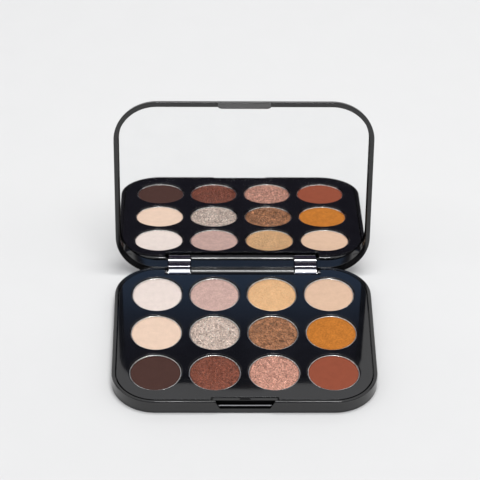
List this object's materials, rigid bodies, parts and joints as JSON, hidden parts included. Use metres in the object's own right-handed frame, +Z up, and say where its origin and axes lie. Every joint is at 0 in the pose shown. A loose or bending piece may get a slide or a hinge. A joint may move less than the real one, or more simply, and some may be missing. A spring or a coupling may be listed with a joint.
{
  "type": "eyeshadow palette",
  "caption": "Flat hinged makeup palette, open: glossy black case with round pans of pressed powder in a grid and a mirror in the lid.",
  "frame": {"origin": "centre of the base's underside, on the surface that it rests on", "axes": "+X along the hinge to the user's right, +Y from the latch to the hinge, +Z up"},
  "size_m": [0.1174, 0.1071, 0.092],
  "materials": {
    "case_plastic": "smooth semi-gloss black",
    "deck_plastic": "polished gloss black",
    "hinge_steel": "bright satin metal",
    "pan_aluminium": "pressed, satin",
    "mirror_glass": "silvered",
    "adhesive": "double-sided sheet",
    "powder_ivory": "pressed powder, matte",
    "powder_mauve": "pressed powder, satin",
    "powder_gold": "pressed powder, shimmer",
    "powder_peach": "pressed powder, matte",
    "powder_cream": "pressed powder, matte",
    "powder_champagne": "pressed powder, glitter",
    "powder_bronze": "pressed powder, glitter",
    "powder_ochre": "pressed powder, matte",
    "powder_espresso": "pressed powder, matte",
    "powder_copper": "pressed powder, glitter",
    "powder_rose_gold": "pressed powder, glitter",
    "powder_terracotta": "pressed powder, matte"
  },
  "bodies": {
    "base": {"base_shell": "case_plastic", "deck_tray": "deck_plastic", "latch_pin": "hinge_steel", "hinge_pin_left": "hinge_steel", "hinge_pin_right": "hinge_steel", "pan_r1c1": "pan_aluminium", "powder_r1c1": "powder_ivory", "pan_r1c2": "pan_aluminium", "powder_r1c2": "powder_mauve", "pan_r1c3": "pan_aluminium", "powder_r1c3": "powder_gold", "pan_r1c4": "pan_aluminium", "powder_r1c4": "powder_peach", "pan_r2c1": "pan_aluminium", "powder_r2c1": "powder_cream", "pan_r2c2": "pan_aluminium", "powder_r2c2": "powder_champagne", "pan_r2c3": "pan_aluminium", "powder_r2c3": "powder_bronze", "pan_r2c4": "pan_aluminium", "powder_r2c4": "powder_ochre", "pan_r3c1": "pan_aluminium", "powder_r3c1": "powder_espresso", "pan_r3c2": "pan_aluminium", "powder_r3c2": "powder_copper", "pan_r3c3": "pan_aluminium", "powder_r3c3": "powder_rose_gold", "pan_r3c4": "pan_aluminium", "powder_r3c4": "powder_terracotta"},
    "lid": {"lid_shell": "case_plastic", "mirror": "mirror_glass", "mirror_adhesive": "adhesive", "hinge_knuckle_left": "hinge_steel", "hinge_knuckle_right": "hinge_steel"}
  },
  "joints": [
    {"name": "lid_hinge", "type": "hinge", "parent": "base", "child": "lid", "pos_m": [0, 0.04361, 0.00375], "axis": [1, 0, 0], "range_deg": [0, 96.85]}
  ]
}
